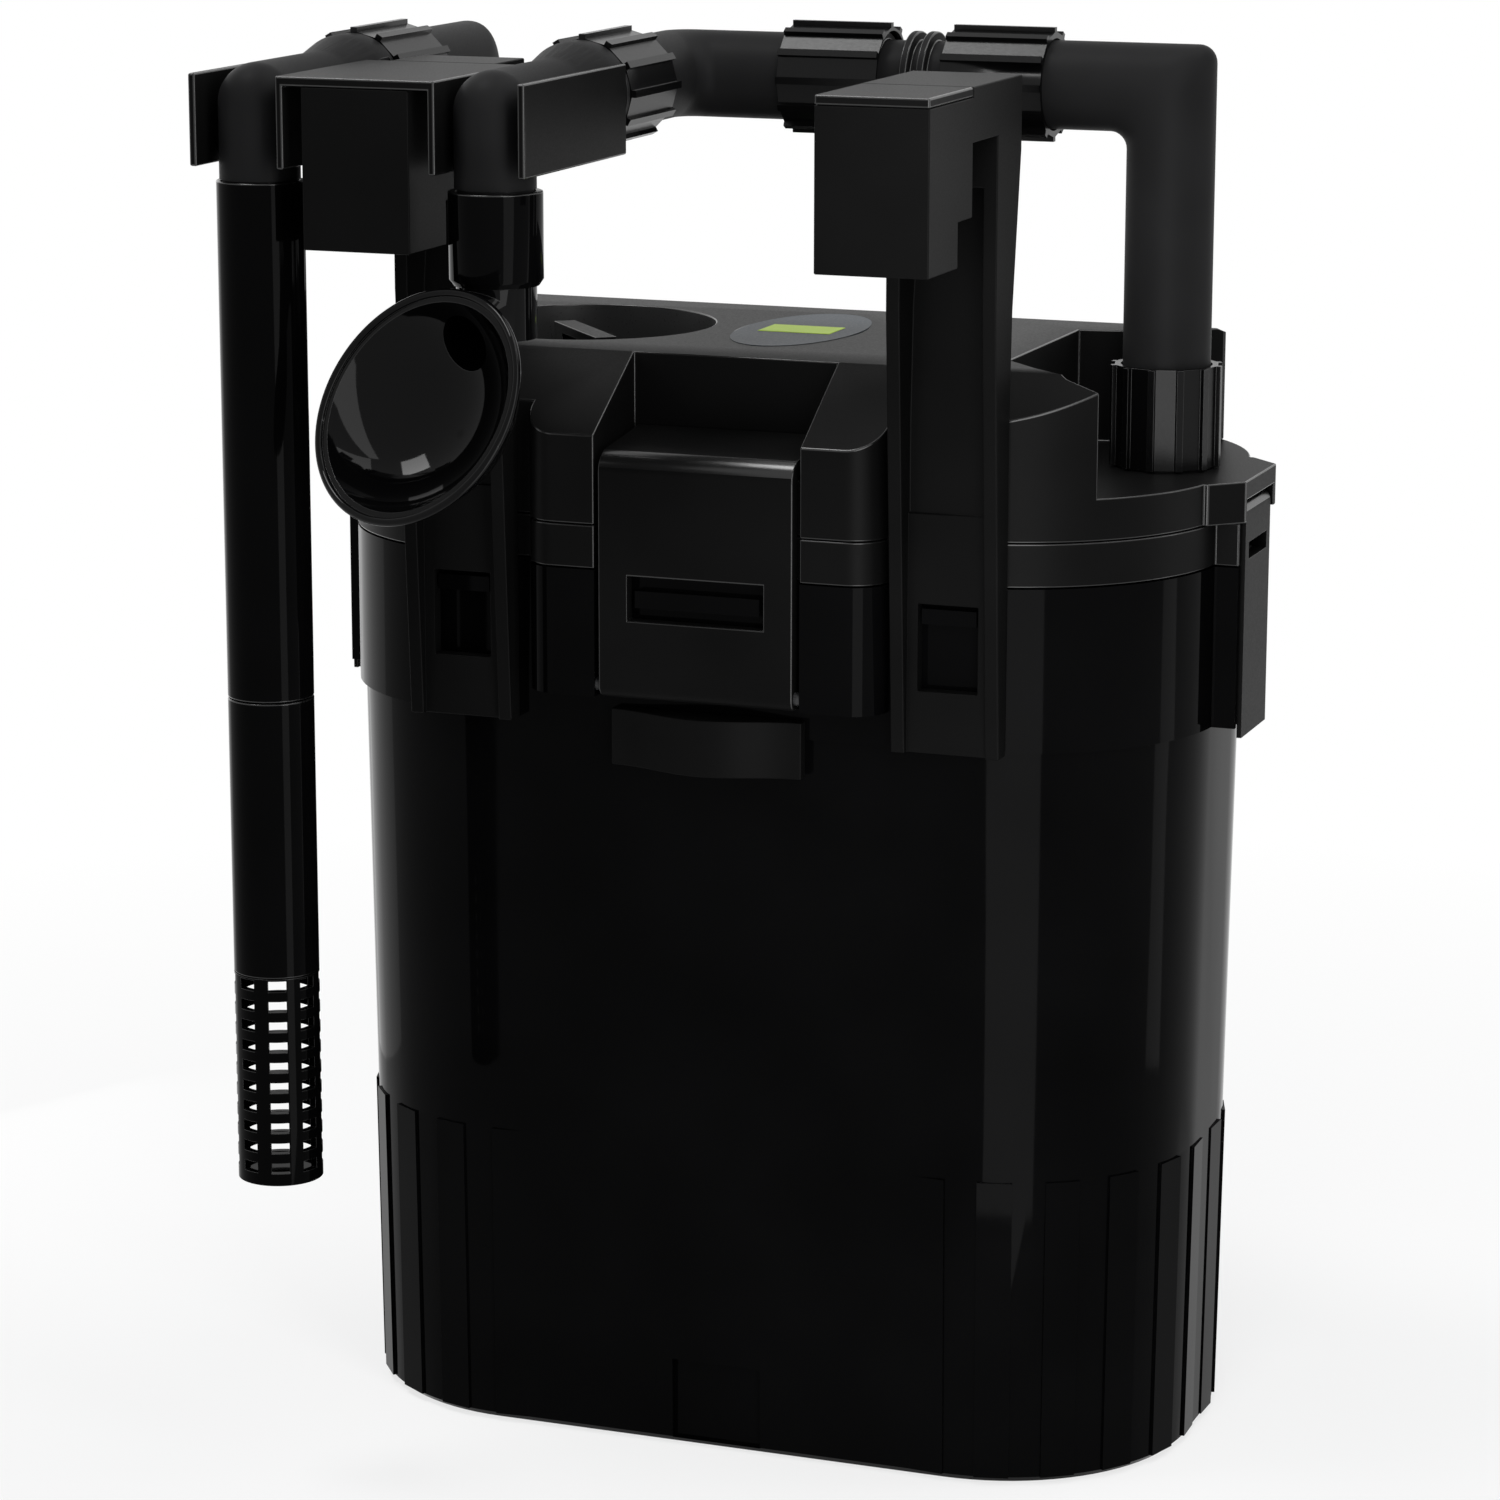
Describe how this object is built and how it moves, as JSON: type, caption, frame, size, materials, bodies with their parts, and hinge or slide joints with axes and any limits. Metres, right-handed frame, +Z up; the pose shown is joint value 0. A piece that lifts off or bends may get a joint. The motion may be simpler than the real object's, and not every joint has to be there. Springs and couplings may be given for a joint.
{
  "type": "hang-on canister filter",
  "caption": "Hang-on aquarium canister filter with rounded tank, latched pump head, hooks, intake pipe with strainer and a swivelling outlet scoop.",
  "frame": {"origin": "centre of the canister's foot, on the plane it stands on", "axes": "+Z up, -Y towards the tank glass and the hooks, +X to the right seen from the tank side, so that the intake pipe is at -X"},
  "size_m": [0.1936, 0.1848, 0.2852],
  "materials": {
    "gloss_black": "polished moulded plastic",
    "satin_black": "satin moulded plastic",
    "nut_black": "semi-gloss moulded plastic",
    "pipe_grey": "fine matt, slightly rubbery",
    "seal_rubber": "soft seal rubber",
    "basket_grey": "moulded plastic",
    "sponge_blue": "open foam",
    "pad_white": "fibre fleece",
    "badge_face": "printed label, plain",
    "potted_motor": "cast resin block",
    "magnet_grey": "coated ferrite",
    "impeller_white": "moulded plastic",
    "ceramic_white": "ground ceramic",
    "pin_steel": "stainless pin"
  },
  "bodies": {
    "housing": {"canister_body": "gloss_black", "spacer_plate": "satin_black", "inlet_downpipe": "satin_black", "lower_basket": "basket_grey", "upper_basket": "basket_grey", "coarse_sponge": "sponge_blue", "fine_pad": "pad_white", "head_base": "satin_black", "head_cover": "satin_black", "seal_ring": "seal_rubber", "badge": "badge_face", "cap_seal": "seal_rubber", "motor_block": "potted_motor", "impeller_cover": "satin_black", "shaft": "ceramic_white", "bushings": "seal_rubber", "clip_pins": "pin_steel", "left_hook": "satin_black", "right_hook": "satin_black", "hook_cap": "satin_black", "pipe_saddle": "satin_black", "strainer": "gloss_black", "lower_pipe": "gloss_black", "upper_pipe": "gloss_black", "intake_elbow": "pipe_grey", "intake_rear_elbow": "pipe_grey", "outlet_rear_elbow": "pipe_grey", "coupling": "pipe_grey", "corner_elbow": "pipe_grey", "outlet_elbow": "pipe_grey", "outlet_socket": "gloss_black"},
    "rotor": {"rotor_magnet": "magnet_grey", "impeller": "impeller_white"},
    "priming_knob": {"priming_cap": "satin_black"},
    "front_latch": {"front_clip": "satin_black"},
    "rear_latch": {"rear_clip": "satin_black"},
    "left_latch": {"left_clip": "satin_black"},
    "right_latch": {"right_clip": "satin_black"},
    "intake_front_nut": {"intake_union_nut": "nut_black"},
    "intake_head_nut": {"inlet_nut": "nut_black"},
    "outlet_head_nut": {"outlet_nut": "nut_black"},
    "outlet_run_nut_a": {"run_nut_a": "nut_black"},
    "outlet_run_nut_b": {"run_nut_b": "nut_black"},
    "outlet_front_nut": {"outlet_union_nut": "nut_black"},
    "nozzle": {"scoop_nozzle": "gloss_black"}
  },
  "joints": [
    {"name": "front_latch_swing", "type": "hinge", "parent": "housing", "child": "front_latch", "pos_m": [0, -0.0569, 0.1596], "axis": [1, 0, 0], "range_deg": [0, 60]},
    {"name": "rear_latch_swing", "type": "hinge", "parent": "housing", "child": "rear_latch", "pos_m": [0, 0.0569, 0.1596], "axis": [-1, 0, 0], "range_deg": [0, 60]},
    {"name": "left_latch_swing", "type": "hinge", "parent": "housing", "child": "left_latch", "pos_m": [-0.094, 0, 0.1526], "axis": [0, -1, 0], "range_deg": [0, 50]},
    {"name": "right_latch_swing", "type": "hinge", "parent": "housing", "child": "right_latch", "pos_m": [0.094, 0, 0.1526], "axis": [0, 1, 0], "range_deg": [0, 50]},
    {"name": "priming_knob_turn", "type": "hinge", "parent": "housing", "child": "priming_knob", "pos_m": [-0.047, 0, 0.2115], "axis": [0, 0, 1], "range_deg": [0, 90]},
    {"name": "rotor_spin", "type": "hinge", "parent": "housing", "child": "rotor", "pos_m": [0.012, 0, 0.19], "axis": [0, 0, 1], "continuous": true},
    {"name": "nozzle_swivel", "type": "hinge", "parent": "housing", "child": "nozzle", "pos_m": [-0.0272, -0.091, 0.2416], "axis": [0, 0, 1], "range_deg": [-45, 60]},
    {"name": "intake_front_nut_turn", "type": "hinge", "parent": "housing", "child": "intake_front_nut", "pos_m": [-0.0756, -0.0365, 0.274], "axis": [0, 1, 0], "continuous": true},
    {"name": "outlet_front_nut_turn", "type": "hinge", "parent": "housing", "child": "outlet_front_nut", "pos_m": [-0.0272, -0.0365, 0.274], "axis": [0, 1, 0], "continuous": true},
    {"name": "intake_head_nut_turn", "type": "hinge", "parent": "housing", "child": "intake_head_nut", "pos_m": [-0.0756, 0.0016, 0.21], "axis": [0, 0, 1], "continuous": true},
    {"name": "outlet_head_nut_turn", "type": "hinge", "parent": "housing", "child": "outlet_head_nut", "pos_m": [0.0766, 0.0016, 0.21], "axis": [0, 0, 1], "continuous": true},
    {"name": "outlet_run_nut_a_turn", "type": "hinge", "parent": "housing", "child": "outlet_run_nut_a", "pos_m": [0.0084, 0.0016, 0.274], "axis": [1, 0, 0], "continuous": true},
    {"name": "outlet_run_nut_b_turn", "type": "hinge", "parent": "housing", "child": "outlet_run_nut_b", "pos_m": [0.0424, 0.0016, 0.274], "axis": [1, 0, 0], "continuous": true}
  ]
}
